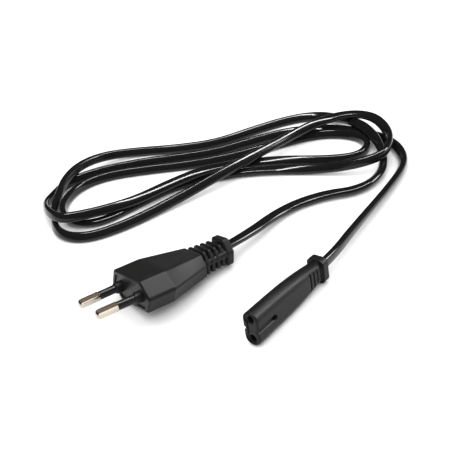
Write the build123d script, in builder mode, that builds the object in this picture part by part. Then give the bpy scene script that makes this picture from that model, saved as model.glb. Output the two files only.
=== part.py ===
from build123d import *
import math
import os

# Power cord: a flat two-pin plug, a flat twin lead in a loose hank, and a figure-eight connector.
# Millimetres, Z up. The origin lies on the floor, under the middle of the plug and the connector.

os.makedirs("parts", exist_ok=True)

# Where the plug lies, its face centre first, then its angles
plug_place = (-28.77, 5.99, 10.14)
plug_yaw = 207.9
plug_pitch = 4.4
plug_roll = 12.6

# Plug body, a hexagon that is straight behind the face and then tapers
face_width = 35.3
face_flat = 24.6
face_height = 13.7
straight_length = 12.0
body_length = 31.0
rear_width = 18.8
rear_flat = 14.8
rear_height = 10.2
body_soft = 1.5
rear_soft = 1.0
face_edge = 0.6

# Strain relief of the plug
rib_count = 4
slot_width = 1.15
rib_width = 1.55
rib_soft = 0.8
rib_bevel = 0.25
rib_first = (15.6, 12.4, 10.0)
rib_last = (13.4, 10.6, 9.4)
spine_height = 3.0
boot_core_width = 10.4
boot_core_height = 5.2
boot_length = 11.9
flange_length = 3.6
flange_size = (13.9, 8.8, 11.8)
flange_soft = 1.4
flange_edge = 0.6

# Plug face panel and pins
panel_width = 31.2
panel_flat = 21.4
panel_height = 10.4
panel_recess = 0.5
bridge_depth = 9.0
collar_radius = 2.4
collar_height = 2.6
collar_root = 9.0
boss_radius = 3.0
boss_length = 3.0
pin_spacing = 18.6
pin_lean = 1.66
pin_radius = 2.0
pin_length = 19.0
pin_tip_round = 1.5
neck_radius = 1.4
sleeve_radius = 1.8
sleeve_length = 10.0
sleeve_root = 4.0
anchor_radius = 2.1
anchor_start = 6.0
anchor_length = 1.4
crimp_radius = 1.8
crimp_start = 13.0
crimp_length = 6.5

# Where the connector stands on its edge, its face centre first, then its angles
connector_place = (15.02, -31.12, 7.7)
connector_yaw = 224.8
connector_pitch = 2.0
connector_lean = -1.2

# Connector body: distance behind the face, length along the hole line, thickness
connector_thick = 7.2
connector_stations = (
    (0.0, 14.6, connector_thick),
    (14.0, 14.4, connector_thick),
    (20.0, 14.0, connector_thick),
    (25.0, 13.4, connector_thick),
    (30.0, 12.5, 7.1),
    (34.0, 11.5, 6.9),
    (38.0, 10.3, 6.7),
    (42.2, 9.0, 6.4),
)
connector_edge = 0.6

# Waist grooves that make the face a figure eight, and the dimple at the end of each
groove_lip = 3.0
groove_throat = 1.7
groove_floor = 1.2
groove_lip_depth = 0.5
groove_depth = 1.25
groove_length = 10.3
dimple_radius = 1.15
dimple_depth = 1.6

# Crescent grooves in the sides of the neck, and the collar behind them
neck_groove_count = 4
neck_groove_first = 34.0
neck_groove_pitch = 2.33
neck_groove_width = 0.9
neck_groove_floor = 2.75
collar_plate_long = 10.8
collar_plate_thick = 8.0
collar_plate_round = 2.4
collar_plate_length = 3.7
collar_edge = 0.6

# Connector insert and contacts
insert_lobe = 2.4
insert_waist = 3.2
insert_recess = 0.4
insert_depth = 15.5
hole_spacing = 8.6
hole_radius = 1.45
mouth_radius = 1.85
contact_start = 4.0
contact_length = 10.0
contact_outer = 1.75
contact_inner = 1.25
finger_slit = 0.5
finger_length = 5.0
barrel_radius = 1.4
barrel_length = 5.5

# Twin lead and its cores
lead_width = 5.0
lead_thick = 3.1
lead_edge = 0.95
core_radius = 0.95
core_offset = 1.05
strand_radius = 0.6
strand_bare = 1.2
strand_grip = 4.5
sheath_end = 36.0
twist_start = 0.26
twist_end = 0.70
start_tilt = 7.0
plug_entry_length = 10.9
connector_entry_length = 10.2

# Hand-chosen route of the lead between the plug and the connector
lead_route = [
    (40.8, 54, 1.8), (60.8, 61, 1.8), (77.8, 61.2, 1.8), (90.3, 71.2, 2), (95.8, 86.2, 2.2),
    (96.6, 99.7, 4.4), (94.3, 111.7, 6.2), (90.8, 124.7, 5), (85.3, 137.7, 2.6), (75.3, 148.2, 1.8),
    (59.8, 150.3, 1.8), (39.8, 146.7, 1.8), (18.3, 140.7, 1.8), (-3.7, 144.7, 1.8),
    (-25.2, 151.5, 1.8), (-42.7, 151.7, 3.2), (-54.7, 141.2, 6), (-63, 127.7, 6.2),
    (-67.2, 113.7, 3.4), (-68.8, 97.7, 1.8), (-65.5, 79.7, 1.8), (-52.2, 69.7, 1.8),
    (-32.2, 73.7, 1.8), (-6.2, 86.7, 2.2), (19.8, 98.1, 6), (39.8, 110.7, 6.3), (59.8, 123.2, 6.3),
    (75.8, 130.2, 7.2), (90.3, 129.7, 8.8), (100.8, 120.7, 8.4), (104.3, 106.2, 7.2),
    (102.8, 92.2, 6.3), (94.3, 79.2, 6.2), (78.8, 80.5, 4.2), (60.8, 89.1, 1.8), (42.8, 97, 1.8),
    (25.3, 101.9, 1.8), (7.8, 103.3, 1.8), (-9.7, 96.7, 1.8), (-27.2, 87.2, 1.8),
    (-44.2, 81.5, 1.8), (-57.7, 85.7, 1.8), (-63, 98.2, 1.8), (-61.5, 110.7, 1.8),
    (-53.2, 122.2, 1.8), (-39.2, 128.1, 1.8), (-18.2, 126, 1.8), (6.8, 120.6, 1.8),
    (31.8, 120.3, 1.8), (54.8, 123.7, 1.8), (70.8, 122.9, 1.8), (81.8, 118.9, 1.8),
    (90.6, 111.2, 1.8), (91.8, 100.7, 1.8), (84.8, 91.9, 1.8), (70.8, 93.3, 1.8),
    (47.3, 105.2, 1.8), (27.8, 111, 1.8), (8.8, 112.2, 1.8), (-9.2, 105.3, 1.8), (-26.2, 97.5, 1.8),
    (-40.7, 93.7, 2.8), (-52.2, 87.2, 5.8), (-63.7, 85.7, 6.4), (-71.8, 95.2, 6.3),
    (-74.8, 108.7, 4.4), (-72.4, 121.7, 2), (-63.2, 131.2, 1.8), (-47.2, 136.3, 1.8),
    (-24.2, 136.3, 1.8), (-0.2, 131.7, 1.8), (17.8, 129.7, 1.8), (35.8, 133.1, 1.8),
    (55.8, 135.7, 1.8), (72.8, 131.7, 1.8), (85.8, 123.2, 1.8), (96.3, 112.7, 1.8),
    (102.8, 102.2, 1.8), (105.3, 88.7, 1.8), (102.8, 74.2, 1.8), (91.8, 58.2, 1.8), (65.8, 23.7, 4),
]


# A plane whose normal points along a heading, rolled about that normal
def posed_plane(place, yaw, pitch, roll):
    heading = Vector(1, 0, 0).rotate(Axis.Y, -pitch).rotate(Axis.Z, yaw)
    side = Vector(0, 0, 1).cross(heading)
    level = Plane(origin=place, x_dir=side, z_dir=heading)
    return Plane(level.location * Location((0, 0, 0), (0, 0, roll)))


plug_plane = posed_plane(plug_place, plug_yaw, plug_pitch, plug_roll)
pin_plane = Plane(plug_plane.location * Location((pin_spacing / 2, 0, 0), (0, -pin_lean, 0)))
plug_middle = Plane(origin=plug_place, x_dir=plug_plane.z_dir, z_dir=plug_plane.x_dir)
connector_plane = posed_plane(connector_place, connector_yaw, connector_pitch, connector_lean)
hole_plane = Plane(connector_plane.location * Location((0, hole_spacing / 2, 0)))
connector_middle = Plane(origin=connector_place, x_dir=connector_plane.z_dir, z_dir=connector_plane.y_dir)
connector_flat = Plane(origin=connector_place, x_dir=connector_plane.z_dir, z_dir=connector_plane.x_dir)


# A hexagon with soft corners, pointed left and right, flat above and below
def hexagon(plane, width, flat, height, soft):
    with BuildSketch(plane) as outline:
        Polygon(
            (width / 2, 0),
            (flat / 2, height / 2),
            (-flat / 2, height / 2),
            (-width / 2, 0),
            (-flat / 2, -height / 2),
            (flat / 2, -height / 2),
            align=None,
        )
        fillet(outline.vertices(), soft)
    return outline.sketch


# A hexagonal plate behind a plane, with both its rims bevelled
def bevelled_plate(plane, size, soft, thick, bevel):
    with BuildPart() as plate:
        extrude(hexagon(plane, *size, soft), amount=-thick)
        ends = plate.faces().sort_by(plane.location.z_axis)
        chamfer(ends[0].edges() + ends[-1].edges(), bevel)
    return plate.part


# A slot that is long across the holes of the connector
def stadium(plane, long, thick):
    with BuildSketch(plane) as outline:
        SlotOverall(long, thick, rotation=90)
    return outline.sketch


# Two lobes round the holes of the connector, joined by a waist
def figure_eight(plane, lobe, waist):
    with BuildSketch(plane) as outline:
        with Locations((0, hole_spacing / 2), (0, -hole_spacing / 2)):
            Circle(lobe)
        Rectangle(waist, hole_spacing)
    return outline.sketch


# Section of the flat lead, broad along the plane's X
def lead_section(plane):
    with BuildSketch(plane) as outline:
        Rectangle(lead_width, lead_thick)
        chamfer(outline.vertices(), lead_edge)
    return outline.sketch


def rounded_rectangle(plane, width, height, radius):
    with BuildSketch(plane) as outline:
        RectangleRounded(width, height, radius)
    return outline.sketch


def disc(plane, radius):
    with BuildSketch(plane) as outline:
        Circle(radius)
    return outline.sketch


# Arc radius at each corner of a route, as large as the runs beside it allow
def corner_radii(points):
    radii = []
    for before, here, after in zip(points, points[1:], points[2:]):
        turn = (here - before).get_angle(after - here)
        shorter = min((here - before).length, (after - here).length)
        radii.append(0.45 * shorter / math.tan(math.radians(turn / 2)))
    return radii


# Broad side of a lead after it has followed a route without twisting
def carried_side(side, points):
    for before, here, after in zip(points, points[1:], points[2:]):
        hinge = Axis((0, 0, 0), (here - before).cross(after - here))
        side = side.rotate(hinge, (here - before).get_angle(after - here))
    return side


# Turned plug pins with a neck under the sleeve, an anchor ring and a crimp tail
with BuildPart() as plug_pin_right:
    extrude(disc(pin_plane.offset(sleeve_length), pin_radius), amount=pin_length - sleeve_length)
    fillet(plug_pin_right.faces().sort_by(pin_plane.location.z_axis)[-1].edges(), pin_tip_round)
    extrude(disc(pin_plane.offset(-crimp_start), neck_radius), amount=crimp_start + sleeve_length)
    extrude(disc(pin_plane.offset(-anchor_start), anchor_radius), amount=-anchor_length)
    extrude(disc(pin_plane.offset(-crimp_start), crimp_radius), amount=-crimp_length)
    extrude(
        disc(pin_plane.offset(-crimp_start - crimp_length), strand_radius),
        amount=strand_grip,
        mode=Mode.SUBTRACT,
    )

with BuildPart() as plug_pin_left:
    mirror(plug_pin_right.part, about=plug_middle)

# Insulating sleeves on the pins
with BuildPart() as pin_sleeve_right:
    extrude(disc(pin_plane.offset(-sleeve_root), sleeve_radius), amount=sleeve_root + sleeve_length)
    extrude(
        disc(pin_plane.offset(-sleeve_root), neck_radius),
        amount=sleeve_root + sleeve_length,
        mode=Mode.SUBTRACT,
    )
    front_rim = pin_sleeve_right.faces().sort_by(pin_plane.location.z_axis)[-1].outer_wire().edges()
    chamfer(front_rim, 0.15)

with BuildPart() as pin_sleeve_left:
    mirror(pin_sleeve_right.part, about=plug_middle)

# Hard bridge that holds both pins and shows as the panel in the plug face
with BuildPart() as plug_pin_bridge:
    extrude(
        hexagon(plug_plane.offset(-panel_recess), panel_width, panel_flat, panel_height, 1.0),
        amount=-bridge_depth,
    )
    extrude(disc(pin_plane.offset(-collar_root), collar_radius), amount=collar_root + collar_height)
    collar_top = plug_pin_bridge.faces().sort_by(pin_plane.location.z_axis)[-1]
    chamfer(collar_top.edges(), 0.35)
    extrude(disc(pin_plane.offset(-collar_root), boss_radius), amount=-boss_length)
    mirror(about=plug_middle)
    add(plug_pin_right.part, mode=Mode.SUBTRACT)
    add(plug_pin_left.part, mode=Mode.SUBTRACT)
    add(pin_sleeve_right.part, mode=Mode.SUBTRACT)
    add(pin_sleeve_left.part, mode=Mode.SUBTRACT)

# Bare copper strands in the crimp tails of the pins
strand_outer = crimp_start + crimp_length + strand_bare
with BuildPart() as plug_strands_blue:
    extrude(disc(pin_plane.offset(-strand_outer), strand_radius), amount=strand_bare + strand_grip)

with BuildPart() as plug_strands_brown:
    mirror(plug_strands_blue.part, about=plug_middle)

# Insulated cores that fan out from the lead to the pins
with BuildPart() as plug_core_blue:
    with BuildLine() as plug_core_run:
        Polyline(
            plug_plane.from_local_coords((core_offset, 0, -sheath_end)),
            plug_plane.from_local_coords((core_offset, 0, -sheath_end + 3)),
            pin_plane.from_local_coords((0, 0, -strand_outer - 3)),
            pin_plane.from_local_coords((0, 0, -strand_outer)),
        )
    plug_core_path = plug_core_run.wires()[0]
    with BuildSketch(Plane(origin=plug_core_path @ 0, z_dir=plug_core_path % 0)):
        Circle(core_radius)
    sweep(path=plug_core_path, transition=Transition.RIGHT)

with BuildPart() as plug_core_brown:
    mirror(plug_core_blue.part, about=plug_middle)

# Spring contacts of the connector, slit at the mouth, with a crimp barrel
with BuildPart() as socket_contact_upper:
    extrude(disc(hole_plane.offset(-contact_start), contact_outer), amount=-contact_length)
    extrude(
        disc(hole_plane.offset(-contact_start), contact_inner),
        amount=-contact_length + 0.8,
        mode=Mode.SUBTRACT,
    )
    with Locations(hole_plane.offset(-contact_start - finger_length / 2).location):
        Box(2 * contact_outer + 1, finger_slit, finger_length, mode=Mode.SUBTRACT)
    extrude(disc(hole_plane.offset(-contact_start - contact_length), barrel_radius), amount=-barrel_length)
    extrude(
        disc(hole_plane.offset(-contact_start - contact_length - barrel_length), strand_radius),
        amount=strand_grip,
        mode=Mode.SUBTRACT,
    )

with BuildPart() as socket_contact_lower:
    mirror(socket_contact_upper.part, about=connector_middle)

# Room for the mating pins and for the contacts in the connector
with BuildPart() as contact_room:
    extrude(disc(hole_plane.offset(-insert_recess), hole_radius), amount=insert_recess - contact_start)
    loft([
        disc(hole_plane.offset(-insert_recess), mouth_radius),
        disc(hole_plane.offset(-insert_recess - 0.4), hole_radius),
    ])
    extrude(disc(hole_plane.offset(-contact_start), contact_outer), amount=-contact_length)
    extrude(disc(hole_plane.offset(-contact_start - contact_length), barrel_radius), amount=-barrel_length)
    mirror(about=connector_middle)
    extrude(figure_eight(connector_plane, insert_lobe, insert_waist), amount=-insert_recess)

# Hard insert of the connector with the two pin holes
with BuildPart() as connector_insert:
    extrude(figure_eight(connector_plane.offset(-insert_recess), insert_lobe, insert_waist), amount=-insert_depth)
    add(contact_room.part, mode=Mode.SUBTRACT)

# Bare copper strands in the contact barrels
barrel_end = contact_start + contact_length + barrel_length
with BuildPart() as connector_strands_brown:
    extrude(
        disc(hole_plane.offset(-barrel_end - strand_bare), strand_radius),
        amount=strand_bare + strand_grip,
    )

with BuildPart() as connector_strands_blue:
    mirror(connector_strands_brown.part, about=connector_middle)

# Insulated cores that fan out from the lead to the contacts
with BuildPart() as connector_core_brown:
    with BuildLine() as connector_core_run:
        Polyline(
            connector_plane.from_local_coords((0, core_offset, -sheath_end)),
            connector_plane.from_local_coords((0, core_offset, -sheath_end + 3)),
            hole_plane.from_local_coords((0, 0, -barrel_end - strand_bare - 3)),
            hole_plane.from_local_coords((0, 0, -barrel_end - strand_bare)),
        )
    connector_core_path = connector_core_run.wires()[0]
    with BuildSketch(Plane(origin=connector_core_path @ 0, z_dir=connector_core_path % 0)):
        Circle(core_radius)
    sweep(path=connector_core_path, transition=Transition.RIGHT)

with BuildPart() as connector_core_blue:
    mirror(connector_core_brown.part, about=connector_middle)

# Route of the sheath from inside the plug to inside the connector
plug_entry = -plug_plane.z_dir
route = [plug_plane.from_local_coords((0, 0, -sheath_end)), plug_plane.from_local_coords((0, 0, -sheath_end - 20))]
route += [Vector(*point) for point in lead_route]
route += [
    connector_plane.from_local_coords((0, 0, -sheath_end - 18)),
    connector_plane.from_local_coords((0, 0, -sheath_end)),
]
radii = corner_radii(route)
turn_corner = len(route) - 4
turn_run = route[turn_corner + 1] - route[turn_corner]
twist_from = route[turn_corner] + turn_run * twist_start
twist_to = route[turn_corner] + turn_run * twist_end
twist_length = (twist_to - twist_from).length
up = Vector(0, 0, 1)

# Broad side of the lead at the plug, where it reaches the last long run, and turned on edge there
first_side = up.cross(plug_entry).rotate(Axis((0, 0, 0), plug_entry), start_tilt)
last_side = carried_side(first_side, route[: turn_corner + 2])
edge_side = turn_run.cross(up.cross(turn_run))
twist_angle = last_side.get_signed_angle(edge_side, turn_run)
if abs(twist_angle) > 90:
    twist_angle -= math.copysign(180, twist_angle)

# Flat twin lead: level along the hank, then turned on edge for the connector
with BuildPart() as cord_sheath:
    with BuildLine(mode=Mode.PRIVATE) as level_run:
        FilletPolyline(*route[: turn_corner + 1], twist_from, radius=radii[:turn_corner])
    level_path = level_run.wires()[0]
    sweep(lead_section(Plane(origin=route[0], x_dir=first_side, z_dir=plug_entry)), path=level_path)
    with BuildLine(mode=Mode.PRIVATE) as twist_run:
        Line(twist_from, twist_to)
    with BuildLine(mode=Mode.PRIVATE) as twist_guide:
        Helix(
            twist_length * 360 / abs(twist_angle),
            twist_length,
            10,
            center=twist_from,
            direction=turn_run,
            lefthand=twist_angle < 0,
        )
    sweep(
        cord_sheath.faces().sort_by_distance(twist_from)[0],
        path=twist_run.wires()[0],
        binormal=twist_guide.wires()[0],
    )
    with BuildLine(mode=Mode.PRIVATE) as edge_run:
        FilletPolyline(twist_to, *route[turn_corner + 1 :], radius=radii[turn_corner:])
    edge_path = edge_run.wires()[0]
    sweep(lead_section(Plane(origin=twist_to, x_dir=edge_side, z_dir=turn_run)), path=edge_path)
    plug_end = cord_sheath.faces().sort_by_distance(route[0])[0]
    connector_end = cord_sheath.faces().sort_by_distance(route[-1])[0]

section_area = lead_width * lead_thick - 2 * lead_edge**2
lead_length = level_path.length + twist_length + edge_path.length
print("corner radii", [round(radius, 1) for radius in radii])
print("twist", round(twist_angle, 1), "lead length", round(lead_length, 1))
print("sheath volume", round(cord_sheath.part.volume, 1), "section by length", round(section_area * lead_length, 1))

# Straight ends of the lead inside the two overmoulds
with BuildPart() as lead_ends:
    extrude(plug_end, amount=plug_entry_length, dir=plug_entry)
    extrude(connector_end, amount=connector_entry_length, dir=-connector_plane.z_dir)

# Plug overmould: body, slotted strain relief and end flange
with BuildPart() as plug_housing:
    extrude(hexagon(plug_plane, face_width, face_flat, face_height, body_soft), amount=-straight_length)
    chamfer(plug_housing.faces().sort_by(plug_plane.location.z_axis)[-1].edges(), face_edge)
    loft([
        hexagon(plug_plane.offset(-straight_length), face_width, face_flat, face_height, body_soft),
        hexagon(plug_plane.offset(-body_length), rear_width, rear_flat, rear_height, rear_soft),
    ], ruled=True)
    loft([
        rounded_rectangle(plug_plane.offset(-body_length), rib_first[0] - 0.5, spine_height, 1.2),
        rounded_rectangle(plug_plane.offset(-body_length - boot_length), rib_last[0] - 0.5, spine_height, 1.0),
    ], ruled=True)
    extrude(
        rounded_rectangle(plug_plane.offset(-body_length), boot_core_width, boot_core_height, 1.8),
        amount=-boot_length,
    )
    for index in range(rib_count):
        share = index / (rib_count - 1)
        front = body_length + slot_width + index * (slot_width + rib_width)
        size = [first + (last - first) * share for first, last in zip(rib_first, rib_last)]
        add(bevelled_plate(plug_plane.offset(-front), size, rib_soft, rib_width, rib_bevel))
    flange_plane = plug_plane.offset(-body_length - boot_length)
    add(bevelled_plate(flange_plane, flange_size, flange_soft, flange_length, flange_edge))
    for piece in (
        plug_pin_bridge, plug_pin_left, plug_pin_right, pin_sleeve_left, pin_sleeve_right,
        plug_strands_blue, plug_strands_brown, plug_core_blue, plug_core_brown, lead_ends,
    ):
        add(piece.part, mode=Mode.SUBTRACT)
    extrude(
        hexagon(plug_plane, panel_width, panel_flat, panel_height, 1.0),
        amount=-panel_recess,
        mode=Mode.SUBTRACT,
    )

# Connector overmould: body with waist grooves, grooved neck and collar plate
with BuildPart() as connector_housing:
    loft(
        [stadium(connector_plane.offset(-at), long, thick) for at, long, thick in connector_stations],
        ruled=True,
    )
    chamfer(connector_housing.faces().sort_by(connector_plane.location.z_axis)[-1].edges(), connector_edge)
    side_at = connector_thick / 2
    for side in (1, -1):
        with BuildSketch(connector_plane):
            Polygon(
                (side * (side_at + groove_lip_depth), groove_lip - groove_throat / 2),
                (side * (side_at - groove_lip_depth), groove_throat / 2),
                (side * (side_at - groove_depth), groove_floor / 2),
                (side * (side_at - groove_depth), -groove_floor / 2),
                (side * (side_at - groove_lip_depth), -groove_throat / 2),
                (side * (side_at + groove_lip_depth), groove_throat / 2 - groove_lip),
                align=None,
            )
        extrude(amount=-groove_length, mode=Mode.SUBTRACT)
        with BuildSketch(connector_flat.offset(side * side_at)):
            with Locations((-groove_length, 0)):
                Circle(dimple_radius)
        extrude(amount=-side * dimple_depth, mode=Mode.SUBTRACT)
        for index in range(neck_groove_count):
            at = neck_groove_first + index * neck_groove_pitch
            with Locations(connector_plane.location * Location((side * (neck_groove_floor + side_at), 0, -at))):
                Box(connector_thick, 2 * connector_thick, neck_groove_width, mode=Mode.SUBTRACT)
    neck_end = connector_stations[-1][0]
    extrude(
        rounded_rectangle(
            connector_plane.offset(-neck_end), collar_plate_thick, collar_plate_long, collar_plate_round
        ),
        amount=-collar_plate_length,
    )
    chamfer(connector_housing.faces().sort_by(connector_plane.location.z_axis)[0].edges(), collar_edge)
    for piece in (
        connector_insert, contact_room, connector_strands_brown, connector_strands_blue,
        connector_core_brown, connector_core_blue, lead_ends,
    ):
        add(piece.part, mode=Mode.SUBTRACT)

nodes = {
    "plug_housing": plug_housing,
    "plug_pin_bridge": plug_pin_bridge,
    "plug_pin_left": plug_pin_left,
    "plug_pin_right": plug_pin_right,
    "pin_sleeve_left": pin_sleeve_left,
    "pin_sleeve_right": pin_sleeve_right,
    "plug_strands_brown": plug_strands_brown,
    "plug_strands_blue": plug_strands_blue,
    "plug_core_brown": plug_core_brown,
    "plug_core_blue": plug_core_blue,
    "cord_sheath": cord_sheath,
    "connector_core_brown": connector_core_brown,
    "connector_core_blue": connector_core_blue,
    "connector_strands_brown": connector_strands_brown,
    "connector_strands_blue": connector_strands_blue,
    "socket_contact_upper": socket_contact_upper,
    "socket_contact_lower": socket_contact_lower,
    "connector_insert": connector_insert,
    "connector_housing": connector_housing,
}
for name, node in nodes.items():
    node.part.label = name
    export_step(node.part, f"parts/{name}.step")
    print(name, len(node.part.solids()), round(node.part.volume, 1), node.part.is_valid)
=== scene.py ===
import math
import bpy
import bmesh
from mathutils import Matrix, Vector


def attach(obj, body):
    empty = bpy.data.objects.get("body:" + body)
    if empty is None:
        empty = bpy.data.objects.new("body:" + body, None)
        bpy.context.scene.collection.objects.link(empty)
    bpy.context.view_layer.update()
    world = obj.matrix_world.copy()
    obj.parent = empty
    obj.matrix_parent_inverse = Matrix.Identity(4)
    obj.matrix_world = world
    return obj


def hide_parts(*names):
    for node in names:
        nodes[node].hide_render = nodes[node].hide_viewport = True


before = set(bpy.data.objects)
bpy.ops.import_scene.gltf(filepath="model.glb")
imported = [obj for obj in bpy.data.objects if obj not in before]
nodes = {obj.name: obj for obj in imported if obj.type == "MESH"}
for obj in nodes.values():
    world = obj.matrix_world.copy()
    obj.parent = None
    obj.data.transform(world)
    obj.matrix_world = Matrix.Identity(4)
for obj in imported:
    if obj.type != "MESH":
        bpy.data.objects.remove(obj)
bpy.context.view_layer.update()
scene = bpy.context.scene
print("frame loaded:", len(nodes), "nodes")


# camera at the photograph's angle
photoView = {
    "lens": 67.95,  # mm
    "sensor": 36.0,  # mm
    "pixels": 450,  # width of the photograph
    "place": (0.01378, -0.27475, 0.19974),
    "lookDown": 31.0,
    "roll": -12.0,
    "nearest": 0.01,
}

cameraSeat = (
    Matrix.Translation(photoView["place"])
    @ Matrix.Rotation(math.radians(90 - photoView["lookDown"]), 4, "X")
    @ Matrix.Rotation(math.radians(photoView["roll"]), 4, "Z")
)
camera = bpy.data.objects.new("photoCamera", bpy.data.cameras.new("photoCamera"))
scene.collection.objects.link(camera)
camera.data.lens = photoView["lens"]
camera.data.sensor_width = photoView["sensor"]
camera.data.clip_start = photoView["nearest"]
camera.matrix_world = cameraSeat
scene.camera = camera
print("camera set")


# one socket of a shader, so that its maths reads as plain expressions
class Flow:
    def __init__(self, tree, socket=None):
        self.tree = tree
        self.socket = socket

    def node(self, kind, settings=None, sockets=None, out=0):
        made = self.tree.nodes.new(kind)
        for name, value in (settings or {}).items():
            setattr(made, name, value)
        for name, value in (sockets or {}).items():
            if isinstance(value, Flow):
                self.tree.links.new(value.socket, made.inputs[name])
            else:
                made.inputs[name].default_value = value
        return Flow(self.tree, made.outputs[out] if made.outputs else None)

    def math(self, operation, first, second):
        return self.node("ShaderNodeMath", {"operation": operation}, {0: first, 1: second})

    def __add__(self, other):
        return self.math("ADD", self, other)

    def __radd__(self, other):
        return self.math("ADD", other, self)

    def __sub__(self, other):
        return self.math("SUBTRACT", self, other)

    def __rsub__(self, other):
        return self.math("SUBTRACT", other, self)

    def __mul__(self, other):
        return self.math("MULTIPLY", self, other)

    def __rmul__(self, other):
        return self.math("MULTIPLY", other, self)


noiseMiddle = 0.5  # a noise texture swings about this value


def newFinish(name):
    material = bpy.data.materials.new(name)
    material.use_nodes = True
    material.node_tree.nodes.clear()
    return material, Flow(material.node_tree)


def closeFinish(flow, sockets):
    skin = flow.node("ShaderNodeBsdfPrincipled", {}, sockets)
    flow.node("ShaderNodeOutputMaterial", {}, {"Surface": skin})


def noiseOn(flow, place, scale, detail=2.0):
    return flow.node("ShaderNodeTexNoise", {}, {"Vector": place, "Scale": scale, "Detail": detail})


def unevenRoughness(skin, cloud, swing):
    return skin["roughness"] + (cloud - noiseMiddle) * swing


def spread(flow, value, low, high):
    return flow.node(
        "ShaderNodeMapRange", {"interpolation_type": "SMOOTHSTEP"},
        {0: value, 1: low, 2: high, 3: 0, 4: 1},
    )


def mixColours(flow, factor, first, second):
    return flow.node("ShaderNodeMix", {"data_type": "RGBA"}, {0: factor, 6: first, 7: second}, 2)


def softEdge(flow, radius, samples=8):
    return flow.node("ShaderNodeBevel", {"samples": samples}, {"Radius": radius})


def bumpOf(flow, height, strength, distance, under=None):
    sockets = {"Height": height, "Strength": strength, "Distance": distance}
    if under:
        sockets["Normal"] = under
    return flow.node("ShaderNodeBump", {}, sockets)


# moulded soft plastic of the plug and the connector
mouldedSkin = {
    "dark": (0.0060, 0.0059, 0.0058, 1),
    "worn": (0.0096, 0.0094, 0.0090, 1),
    "wornFrom": 0.35,
    "wornTo": 0.7,
    "cloud": 60.0,
    "cloudDetail": 3.0,
    "roughness": 0.42,
    "roughnessSwing": 0.12,
    "ior": 1.5,
    "specular": 0.13,
    "grain": 2600.0,
    "grainStrength": 0.25,
    "grainDepth": 0.00004,
    "edge": 0.0006,
}


def makeMouldedSkin():
    material, flow = newFinish("mouldedSkin")
    place = flow.node("ShaderNodeTexCoord", out="Object")
    cloud = noiseOn(flow, place, mouldedSkin["cloud"], mouldedSkin["cloudDetail"])
    grain = noiseOn(flow, place, mouldedSkin["grain"])
    wear = spread(flow, cloud, mouldedSkin["wornFrom"], mouldedSkin["wornTo"])
    edge = softEdge(flow, mouldedSkin["edge"])
    closeFinish(flow, {
        "Base Color": mixColours(flow, wear, mouldedSkin["dark"], mouldedSkin["worn"]),
        "Roughness": unevenRoughness(mouldedSkin, cloud, mouldedSkin["roughnessSwing"]),
        "IOR": mouldedSkin["ior"],
        "Specular IOR Level": mouldedSkin["specular"],
        "Normal": bumpOf(flow, grain, mouldedSkin["grainStrength"], mouldedSkin["grainDepth"], edge),
    })
    return material


# glossy skin of the flat lead
leadSkin = {
    "dark": (0.0080, 0.0079, 0.0078, 1),
    "cloud": 45.0,
    "cloudDetail": 3.0,
    "roughness": 0.13,
    "roughnessSwing": 0.1,
    "ior": 1.45,
    "specular": 0.3,
    "ripple": 420.0,
    "rippleStrength": 0.06,
    "rippleDepth": 0.00008,
}


def makeLeadSkin():
    material, flow = newFinish("leadSkin")
    place = flow.node("ShaderNodeTexCoord", out="Object")
    cloud = noiseOn(flow, place, leadSkin["cloud"], leadSkin["cloudDetail"])
    ripple = noiseOn(flow, place, leadSkin["ripple"])
    closeFinish(flow, {
        "Base Color": leadSkin["dark"],
        "Roughness": unevenRoughness(leadSkin, cloud, leadSkin["roughnessSwing"]),
        "IOR": leadSkin["ior"],
        "Specular IOR Level": leadSkin["specular"],
        "Normal": bumpOf(flow, ripple, leadSkin["rippleStrength"], leadSkin["rippleDepth"]),
    })
    return material


# nickel on the pins, a little cloudy
pinMetal = {
    "bright": (0.54, 0.50, 0.44, 1),
    "dull": (0.44, 0.39, 0.33, 1),
    "cloud": 240.0,
    "cloudDetail": 3.0,
    "roughness": 0.20,
    "roughnessSwing": 0.08,
}


def makePinMetal():
    material, flow = newFinish("pinMetal")
    place = flow.node("ShaderNodeTexCoord", out="Object")
    cloud = noiseOn(flow, place, pinMetal["cloud"], pinMetal["cloudDetail"])
    closeFinish(flow, {
        "Base Color": mixColours(flow, cloud, pinMetal["bright"], pinMetal["dull"]),
        "Metallic": 1.0,
        "Roughness": unevenRoughness(pinMetal, cloud, pinMetal["roughnessSwing"]),
    })
    return material


# one colour each for the hard and the inner pieces
plainSkins = {
    "hardInsert": {"colour": (0.008, 0.008, 0.008, 1), "roughness": 0.42, "metallic": 0.0},
    "pinSleeve": {"colour": (0.009, 0.009, 0.009, 1), "roughness": 0.30, "metallic": 0.0},
    "coreBrown": {"colour": (0.12, 0.045, 0.02, 1), "roughness": 0.4, "metallic": 0.0},
    "coreBlue": {"colour": (0.02, 0.08, 0.30, 1), "roughness": 0.4, "metallic": 0.0},
    "copperStrand": {"colour": (0.85, 0.45, 0.30, 1), "roughness": 0.3, "metallic": 1.0},
    "contactBrass": {"colour": (0.80, 0.62, 0.32, 1), "roughness": 0.28, "metallic": 1.0},
}
plainCloud = {"scale": 300.0, "roughnessSwing": 0.1, "specular": 0.16}


def makePlainSkin(name):
    skin = plainSkins[name]
    material, flow = newFinish(name)
    place = flow.node("ShaderNodeTexCoord", out="Object")
    cloud = noiseOn(flow, place, plainCloud["scale"])
    closeFinish(flow, {
        "Base Color": skin["colour"],
        "Metallic": skin["metallic"],
        "Roughness": unevenRoughness(skin, cloud, plainCloud["roughnessSwing"]),
        "Specular IOR Level": plainCloud["specular"],
    })
    return material


mouldedBlack = makeMouldedSkin()
leadBlack = makeLeadSkin()
nickel = makePinMetal()
plain = {name: makePlainSkin(name) for name in plainSkins}
print("finishes made")

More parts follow.
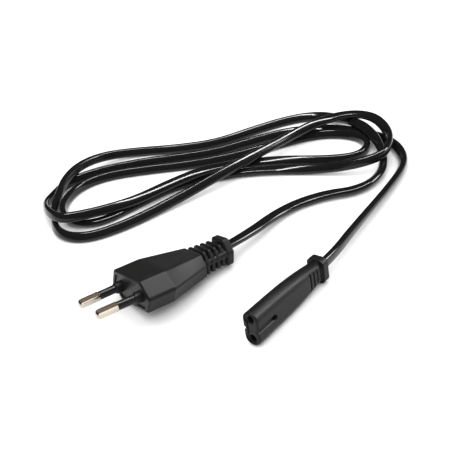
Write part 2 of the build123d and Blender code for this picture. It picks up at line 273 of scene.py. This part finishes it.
dressing = {
    "plug_housing": mouldedBlack, "connector_housing": mouldedBlack,
    "plug_pin_bridge": plain["hardInsert"], "connector_insert": plain["hardInsert"],
    "plug_core_brown": plain["coreBrown"], "connector_core_brown": plain["coreBrown"],
    "plug_core_blue": plain["coreBlue"], "connector_core_blue": plain["coreBlue"],
    "plug_strands_brown": plain["copperStrand"], "plug_strands_blue": plain["copperStrand"],
    "connector_strands_brown": plain["copperStrand"], "connector_strands_blue": plain["copperStrand"],
    "socket_contact_upper": plain["contactBrass"], "socket_contact_lower": plain["contactBrass"],
}
for name, finish in dressing.items():
    for place in nodes[name].material_slots:
        place.material = finish


# where the plug and the connector lie, as in the CAD: the face's centre and its angles
plugPose = {"place": (-0.02877, 0.00599, 0.01014), "yaw": 207.9, "pitch": 4.4, "roll": 12.6}
connectorPose = {"place": (0.01502, -0.03112, 0.00770), "yaw": 224.8, "pitch": 2.0, "roll": -1.2}


def posedSeat(pose):
    pitched = Matrix.Rotation(math.radians(-pose["pitch"]), 3, "Y") @ Vector((1, 0, 0))
    heading = Matrix.Rotation(math.radians(pose["yaw"]), 3, "Z") @ pitched
    side = Vector((0, 0, 1)).cross(heading).normalized()
    level = Matrix((side, heading.cross(side), heading)).transposed().to_4x4()
    return Matrix.Translation(pose["place"]) @ level @ Matrix.Rotation(math.radians(pose["roll"]), 4, "Z")


def behindFace(seat, distance, decimals=6):
    return [round(v, decimals) for v in seat @ Vector((0, 0, -distance))]


plugSeat = posedSeat(plugPose)
connectorSeat = posedSeat(connectorPose)


# turned pins with sleeves, leaning in a little towards their tips
pins = {
    "spacing": 0.0186,
    "lean": 1.66,
    "radius": 0.0020,
    "length": 0.0190,
    "neckRadius": 0.0014,
    "sleeveRadius": 0.0018,
    "sleeveLength": 0.0100,
    "sleeveRoot": 0.0040,
    "anchorRadius": 0.0021,
    "anchorStart": 0.0060,
    "anchorLength": 0.0014,
    "crimpRadius": 0.0018,
    "crimpStart": 0.0130,
    "crimpLength": 0.0065,
    "strandRadius": 0.0006,
    "strandGrip": 0.0045,
    "around": 56,
    "tipRound": 0.0015,
    "tipSteps": 6,
    "softRim": 0.00012,
    "rimSteps": 2,
    "sharpFrom": 40,
    "samePlace": 0.000001,
}


# radius and height of each corner, from the strands' hole in the crimp to the tip
def pinCorners():
    crimpEnd = pins["crimpStart"] + pins["crimpLength"]
    anchorEnd = pins["anchorStart"] + pins["anchorLength"]
    holeEnd = crimpEnd - pins["strandGrip"]
    return [
        (0, -holeEnd), (pins["strandRadius"], -holeEnd),
        (pins["strandRadius"], -crimpEnd), (pins["crimpRadius"], -crimpEnd),
        (pins["crimpRadius"], -pins["crimpStart"]), (pins["neckRadius"], -pins["crimpStart"]),
        (pins["neckRadius"], -anchorEnd), (pins["anchorRadius"], -anchorEnd),
        (pins["anchorRadius"], -pins["anchorStart"]), (pins["neckRadius"], -pins["anchorStart"]),
        (pins["neckRadius"], pins["sleeveLength"]), (pins["radius"], pins["sleeveLength"]),
        (pins["radius"], pins["length"]), (0, pins["length"]),
    ]


# once round the sleeve's wall, back to where it starts
def sleeveCorners():
    return [
        (pins["neckRadius"], -pins["sleeveRoot"]), (pins["sleeveRadius"], -pins["sleeveRoot"]),
        (pins["sleeveRadius"], pins["sleeveLength"]), (pins["neckRadius"], pins["sleeveLength"]),
        (pins["neckRadius"], -pins["sleeveRoot"]),
    ]


def turnOnLathe(name, corners, rounded, finish, seat):
    bm = bmesh.new()
    line = [bm.verts.new((radius, 0, height)) for radius, height in corners]
    edges = [bm.edges.new(pair) for pair in zip(line, line[1:])]
    bmesh.ops.spin(
        bm, geom=line + edges, cent=(0, 0, 0), axis=(0, 0, 1), dvec=(0, 0, 0),
        angle=math.tau, steps=pins["around"], use_merge=True,
    )
    near = pins["samePlace"]
    bmesh.ops.remove_doubles(bm, verts=bm.verts, dist=near)
    bmesh.ops.recalc_face_normals(bm, faces=bm.faces)
    for (radius, height), offset, steps in rounded:
        rim = [
            e for e in bm.edges
            if all(abs(v.co.z - height) < near and abs(v.co.xy.length - radius) < near for v in e.verts)
        ]
        bmesh.ops.bevel(
            bm, geom=rim, offset=offset, segments=steps, profile=0.5, affect="EDGES", material=-1,
        )
    for face in bm.faces:
        face.smooth = True
    for edge in bm.edges:
        edge.smooth = edge.calc_face_angle(0) < math.radians(pins["sharpFrom"])
    bmesh.ops.transform(bm, matrix=seat, verts=bm.verts)
    mesh = bpy.data.meshes.new(name)
    bm.to_mesh(mesh)
    bm.free()
    mesh.materials.append(finish)
    piece = bpy.data.objects.new(name, mesh)
    scene.collection.objects.link(piece)
    return piece


def makePins():
    tip = ((pins["radius"], pins["length"]), pins["tipRound"], pins["tipSteps"])
    shoulder = ((pins["radius"], pins["sleeveLength"]), pins["softRim"], pins["rimSteps"])
    sleeveRim = ((pins["sleeveRadius"], pins["sleeveLength"]), pins["softRim"], pins["rimSteps"])
    turned = []
    for side, sign in (("left", -1), ("right", 1)):
        aside = Matrix.Translation((sign * pins["spacing"] / 2, 0, 0))
        seat = plugSeat @ aside @ Matrix.Rotation(math.radians(-sign * pins["lean"]), 4, "Y")
        pin = turnOnLathe(side + "Pin", pinCorners(), [tip, shoulder], nickel, seat)
        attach(pin, "root")
        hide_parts("plug_pin_" + side)
        turned.append(pin)
        sleeve = turnOnLathe(side + "Sleeve", sleeveCorners(), [sleeveRim], plain["pinSleeve"], seat)
        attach(sleeve, "root")
        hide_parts("pin_sleeve_" + side)
    return turned


metalPins = makePins()
print("pins and sleeves turned")


# flat twin lead on its route from the plug to the connector
lead = {
    "width": 0.0050,
    "thick": 0.0031,
    "length": 1.50,
    "sides": 26,
    "stepsPerPoint": 10,
    "sheathEnd": 0.0360,  # behind each face
    "flangeExit": 0.0468,  # behind the plug's face
    "plugRun": (0.0203, 0.0332, 0.0065),
    "connectorRun": 0.0180,  # straight out of the connector
    "decimals": 4,  # the moved points are kept to a tenth of a millimetre
}

# the CAD's own route
leadRoute = [
    (0.0408, 0.0540, 0.0018), (0.0608, 0.0610, 0.0018), (0.0778, 0.0612, 0.0018),
    (0.0903, 0.0712, 0.0020), (0.0958, 0.0862, 0.0022), (0.0966, 0.0997, 0.0044),
    (0.0943, 0.1117, 0.0062), (0.0908, 0.1247, 0.0050), (0.0853, 0.1377, 0.0026),
    (0.0753, 0.1482, 0.0018), (0.0598, 0.1503, 0.0018), (0.0398, 0.1467, 0.0018),
    (0.0183, 0.1407, 0.0018), (-0.0037, 0.1447, 0.0018), (-0.0252, 0.1515, 0.0018),
    (-0.0427, 0.1517, 0.0032), (-0.0547, 0.1412, 0.0060), (-0.0630, 0.1277, 0.0062),
    (-0.0672, 0.1137, 0.0034), (-0.0688, 0.0977, 0.0018), (-0.0655, 0.0797, 0.0018),
    (-0.0522, 0.0697, 0.0018), (-0.0322, 0.0737, 0.0018), (-0.0062, 0.0867, 0.0022),
    (0.0198, 0.0981, 0.0060), (0.0398, 0.1107, 0.0063), (0.0598, 0.1232, 0.0063),
    (0.0758, 0.1302, 0.0072), (0.0903, 0.1297, 0.0088), (0.1008, 0.1207, 0.0084),
    (0.1043, 0.1062, 0.0072), (0.1028, 0.0922, 0.0063), (0.0943, 0.0792, 0.0062),
    (0.0788, 0.0805, 0.0042), (0.0608, 0.0891, 0.0018), (0.0428, 0.0970, 0.0018),
    (0.0253, 0.1019, 0.0018), (0.0078, 0.1033, 0.0018), (-0.0097, 0.0967, 0.0018),
    (-0.0272, 0.0872, 0.0018), (-0.0442, 0.0815, 0.0018), (-0.0577, 0.0857, 0.0018),
    (-0.0630, 0.0982, 0.0018), (-0.0615, 0.1107, 0.0018), (-0.0532, 0.1222, 0.0018),
    (-0.0392, 0.1281, 0.0018), (-0.0182, 0.1260, 0.0018), (0.0068, 0.1206, 0.0018),
    (0.0318, 0.1203, 0.0018), (0.0548, 0.1237, 0.0018), (0.0708, 0.1229, 0.0018),
    (0.0818, 0.1189, 0.0018), (0.0906, 0.1112, 0.0018), (0.0918, 0.1007, 0.0018),
    (0.0848, 0.0919, 0.0018), (0.0708, 0.0933, 0.0018), (0.0473, 0.1052, 0.0018),
    (0.0278, 0.1110, 0.0018), (0.0088, 0.1122, 0.0018), (-0.0092, 0.1053, 0.0018),
    (-0.0262, 0.0975, 0.0018), (-0.0407, 0.0937, 0.0028), (-0.0522, 0.0872, 0.0058),
    (-0.0637, 0.0857, 0.0064), (-0.0718, 0.0952, 0.0063), (-0.0748, 0.1087, 0.0044),
    (-0.0724, 0.1217, 0.0020), (-0.0632, 0.1312, 0.0018), (-0.0472, 0.1363, 0.0018),
    (-0.0242, 0.1363, 0.0018), (-0.0002, 0.1317, 0.0018), (0.0178, 0.1297, 0.0018),
    (0.0358, 0.1331, 0.0018), (0.0558, 0.1357, 0.0018), (0.0728, 0.1317, 0.0018),
    (0.0858, 0.1232, 0.0018), (0.0963, 0.1127, 0.0018), (0.1028, 0.1022, 0.0018),
    (0.1053, 0.0887, 0.0018), (0.1028, 0.0742, 0.0018), (0.0918, 0.0582, 0.0018),
    (0.0658, 0.0237, 0.0040),
]

# each point moved to follow the photograph: pixels right and down in the picture, and the new height
leadMoves = [
    (-1, -4, 0.0024), (0, -1.9, 0.0025), (0, 0.9, 0.0026), (0.6, 1, 0.0026), (0.3, 0, 0.0032),
    (0, 0, 0.0057), (0, 0, 0.0069), (0, 0, 0.0063), (0, 0, 0.0032), (0, 0, 0.0023),
    (0, 0, 0.0023), (0, 0.4, 0.0023), (0, 0.6, 0.0023), (0, 0.8, 0.0023), (0, 0.6, 0.0024),
    (0.5, 0.3, 0.0046), (0.6, 0.2, 0.0075), (0.6, 0, 0.00755), (0.6, 0, 0.0047), (0, 0, 0.0025),
    (0, 1, 0.0026), (0, 1, 0.0025), (0, 0.6, 0.0024), (0, -0.4, 0.0032), (0, 0, 0.0068),
    (0, 0, 0.0074), (0, 0, 0.0074), (0, 0.6, 0.0086), (0, 2, 0.0102), (-1.6, 1.4, 0.0100),
    (-3, 0.5, 0.0092), (-2.8, 0.3, 0.0088), (-1, 0, 0.0084), (0, 0, 0.0050), (0, 0, 0.0024),
    (0, 0, 0.0023), (0, 0, 0.0022), (0, 0.4, 0.00165), (0, -3.6, 0.00165), (3, -4.8, 0.0017),
    (0, 0.7, 0.0021), (0, 0, 0.0026), (-2, 0, 0.0027), (-2.8, -1.5, 0.0027), (-1.5, -2.6, 0.0027),
    (0, -1, 0.0024), (0, 0, 0.0023), (0, 0, 0.0023), (0, 0, 0.0023), (0, -1.5, 0.0023),
    (0, -2, 0.0023), (0.5, -1.8, 0.0024), (1, -1, 0.0027), (1, 0, 0.0027), (0, 0, 0.0026),
    (0, -1, 0.0024), (0, -0.4, 0.0023), (0, 0, 0.0029), (0, -0.1, 0.0064), (0, 0.2, 0.0059),
    (0, 1.6, 0.0056), (0, 2.8, 0.0062), (0, 2.6, 0.0080), (1, 0.8, 0.0089), (4, 0, 0.0080),
    (4, 1, 0.0048), (3, 3, 0.0027), (0, 0, 0.0026), (0, 0, 0.0024), (0, 0, 0.0023),
    (0, 0, 0.0023), (0, 0, 0.0023), (0, 0, 0.0023), (0, 0, 0.0023), (0, 0, 0.0023),
    (0, -0.7, 0.0022), (0, 0, 0.0021), (0, 0, 0.0023), (0, 0, 0.0025), (-0.8, 0, 0.0025),
    (-1.5, 0, 0.0032), (-2.2, -0.6, 0.0045),
]

# how far the lead's broad side is turned up, in degrees, at points of the route counted from the plug
leadTurns = [
    (0, -12.6), (1.2, 14), (2.2, 20), (3.3, 0), (4.5, -35), (6, -75), (7, -50), (8.5, -32),
    (10, -42), (12, -50), (15, -50), (16, -56), (17, -77), (18, -80), (20, -92), (22, -115),
    (24, -130), (28, -130), (30, -172), (31.5, -150), (33, -105), (34.5, -90), (36, -48), (37.3, -12),
    (38.5, 0), (42, 2), (44, 75), (45.5, 84), (46.4, 72), (47.6, 52), (52, 50), (54, 70),
    (56, 90), (57.5, 130), (59, 162), (61, 148), (62.3, 140), (63.5, 126), (65, 108), (67, 105),
    (69, 86), (70, 66), (71, 52), (75, 50), (77, 28), (78, 22), (80, 48), (82.5, 55),
    (84, 82), (85, 90),
]


# the point at a new height that the camera sees so many pixels further right and down
def movedPoint(point, right, down, height):
    pixelsPerSlope = photoView["lens"] / photoView["sensor"] * photoView["pixels"]
    seen = cameraSeat.inverted() @ Vector(point)
    slope = Vector((right / pixelsPerSlope - seen.x / seen.z, -down / pixelsPerSlope - seen.y / seen.z, -1))
    ray = cameraSeat.to_3x3() @ slope
    eye = cameraSeat.translation
    found = eye + ray * ((height - eye.z) / ray.z)
    return tuple(round(v, lead["decimals"]) for v in found)


def routeLine(points, steps):
    line = bpy.data.curves.new("leadLine", "CURVE")
    line.dimensions = "3D"
    spline = line.splines.new("NURBS")
    spline.points.add(len(points) - 1)
    for held, point in zip(spline.points, points):
        held.co = (*point, 1)
    spline.order_u = 3
    spline.use_endpoint_u = True
    spline.resolution_u = steps
    holder = bpy.data.objects.new("leadLine", line)
    scene.collection.objects.link(holder)
    bpy.context.view_layer.update()
    mesh = bpy.data.meshes.new_from_object(holder)
    found = [v.co.copy() for v in mesh.vertices]
    bpy.data.objects.remove(holder)
    bpy.data.curves.remove(line)
    bpy.data.meshes.remove(mesh)
    return found


def turnAt(share):
    for (first, low), (second, high) in zip(leadTurns, leadTurns[1:]):
        if share <= second:
            part = (share - first) / (second - first)
            part = part * part * (3 - 2 * part)  # eases in and out
            return math.radians(low + (high - low) * part)
    return math.radians(leadTurns[-1][1])


def makeLead():
    points = [behindFace(plugSeat, lead["sheathEnd"]), lead["plugRun"]]
    points += [movedPoint(point, *move) for point, move in zip(leadRoute, leadMoves)]
    points.append(behindFace(connectorSeat, lead["sheathEnd"] + lead["connectorRun"]))
    points.append(behindFace(connectorSeat, lead["sheathEnd"]))
    path = routeLine(points, lead["stepsPerPoint"])
    last = len(path) - 1
    seats = []
    for k, point in enumerate(path):
        ahead = (path[min(k + 1, last)] - path[max(k - 1, 0)]).normalized()
        side = Vector((0, 0, 1)).cross(ahead).normalized()
        turn = turnAt(k / last * (len(points) - 1))
        broad = Matrix.Rotation(turn, 3, ahead) @ side
        seat = Matrix((broad, ahead.cross(broad), ahead)).transposed().to_4x4()
        seats.append(Matrix.Translation(point) @ seat)
    bm = bmesh.new()
    ring = bmesh.ops.create_circle(bm, segments=lead["sides"], radius=lead["thick"] / 2)["verts"]
    for side in (-1, 1):
        half = [v for v in ring if v.co.x * side > 0]
        bmesh.ops.translate(bm, verts=half, vec=(side * (lead["width"] - lead["thick"]) / 2, 0, 0))
    edges = list(bm.edges)
    bmesh.ops.transform(bm, matrix=seats[0], verts=ring)
    bmesh.ops.contextual_create(bm, geom=edges)
    for before, seat in zip(seats, seats[1:]):
        grown = bmesh.ops.extrude_edge_only(bm, edges=edges)["geom"]
        ring = [g for g in grown if isinstance(g, bmesh.types.BMVert)]
        edges = [g for g in grown if isinstance(g, bmesh.types.BMEdge)]
        bmesh.ops.transform(bm, matrix=seat @ before.inverted(), verts=ring)
    bmesh.ops.contextual_create(bm, geom=edges)
    bmesh.ops.recalc_face_normals(bm, faces=bm.faces)
    for face in bm.faces:
        face.smooth = len(face.verts) == 4
    mesh = bpy.data.meshes.new("leadTube")
    bm.to_mesh(mesh)
    bm.free()
    tube = bpy.data.objects.new("leadTube", mesh)
    scene.collection.objects.link(tube)
    tube.data.materials.append(leadBlack)
    return tube, path


leadTube, leadPath = makeLead()
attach(leadTube, "root")
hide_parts("cord_sheath")
print("lead made:", len(leadTube.data.polygons), "faces")


# pale floor
studio = {
    "floorSize": 3.0,
    "floorColour": (0.93, 0.93, 0.93, 1),
    "floorRoughness": 0.7,
    "worldColour": (1, 1, 1, 1),
    "worldStrength": 0.75,
}

bm = bmesh.new()
bmesh.ops.create_grid(bm, x_segments=1, y_segments=1, size=studio["floorSize"] / 2)
floorMesh = bpy.data.meshes.new("floor")
bm.to_mesh(floorMesh)
bm.free()
floor = bpy.data.objects.new("floor", floorMesh)
scene.collection.objects.link(floor)
floorPaint, flow = newFinish("floorPaint")
closeFinish(flow, {"Base Color": studio["floorColour"], "Roughness": studio["floorRoughness"]})
floorMesh.materials.append(floorPaint)


# each lamp shows in gloss or lights what is matt, not both
# two of them leave the metal pins out, which have two cards of their own
lamps = {
    "topStrip": {
        "place": (0.275, 0.02, 0.9), "aim": (0.275, 0.05, 0), "size": (1.25, 0.10), "power": 29,
        "gloss": True, "pins": "EXCLUDE",
    },
    "sideBox": {
        "place": (1.0, 0.03, 0.48), "aim": (0, 0.03, 0), "size": (0.42, 0.4), "power": 14,
        "gloss": True, "pins": "EXCLUDE",
    },
    "pinCard": {
        "place": (0.4, -0.85, 0.36), "aim": (-0.04, 0, 0), "size": (2.2, 0.95), "power": 13,
        "gloss": True, "pins": "INCLUDE",
    },
    "backCard": {
        "place": (-0.04, 0.35, 0.9), "aim": (-0.04, 0, 0), "size": (2.4, 1.9), "power": 5.0,
        "gloss": True, "pins": "INCLUDE", "colour": (1, 0.86, 0.68),
    },
    "skyFill": {
        "place": (0.01, 0.10, 1.1), "aim": (0.01, 0.11, 0), "size": (2.0, 2.0), "power": 19,
        "gloss": False,
    },
    "frontFill": {
        "place": (0.05, -0.75, 0.75), "aim": (0.05, 0.02, 0), "size": (0.8, 0.6), "power": 3,
        "gloss": False,
    },
}


def softBox(name, settings):
    lamp = bpy.data.lights.new(name, "AREA")
    lamp.shape = "RECTANGLE"
    lamp.size, lamp.size_y = settings["size"]
    lamp.energy = settings["power"]
    lamp.color = settings.get("colour", (1, 1, 1))
    box = bpy.data.objects.new(name, lamp)
    scene.collection.objects.link(box)
    box.location = settings["place"]
    beam = Vector(settings["aim"]) - Vector(settings["place"])
    box.rotation_euler = beam.to_track_quat("-Z", "Y").to_euler()
    box.visible_glossy = settings["gloss"]
    box.visible_diffuse = not settings["gloss"]
    return box


# lets a lamp light only some pieces, or all but them
def linkLight(box, pieces, state):
    group = bpy.data.collections.new(box.name + "Pieces")
    for piece in pieces:
        group.objects.link(piece)
    for entry in group.collection_objects:
        entry.light_linking.link_state = state
    box.light_linking.receiver_collection = group


for name, settings in lamps.items():
    box = softBox(name, settings)
    if "pins" in settings:
        linkLight(box, metalPins, settings["pins"])

world = bpy.data.worlds.new("studioAir")
scene.world = world
world.use_nodes = True
air = world.node_tree.nodes["Background"]
air.inputs["Color"].default_value = studio["worldColour"]
air.inputs["Strength"].default_value = studio["worldStrength"]
world.cycles_visibility.glossy = False
scene.view_settings.view_transform = "Standard"
print("studio lit")
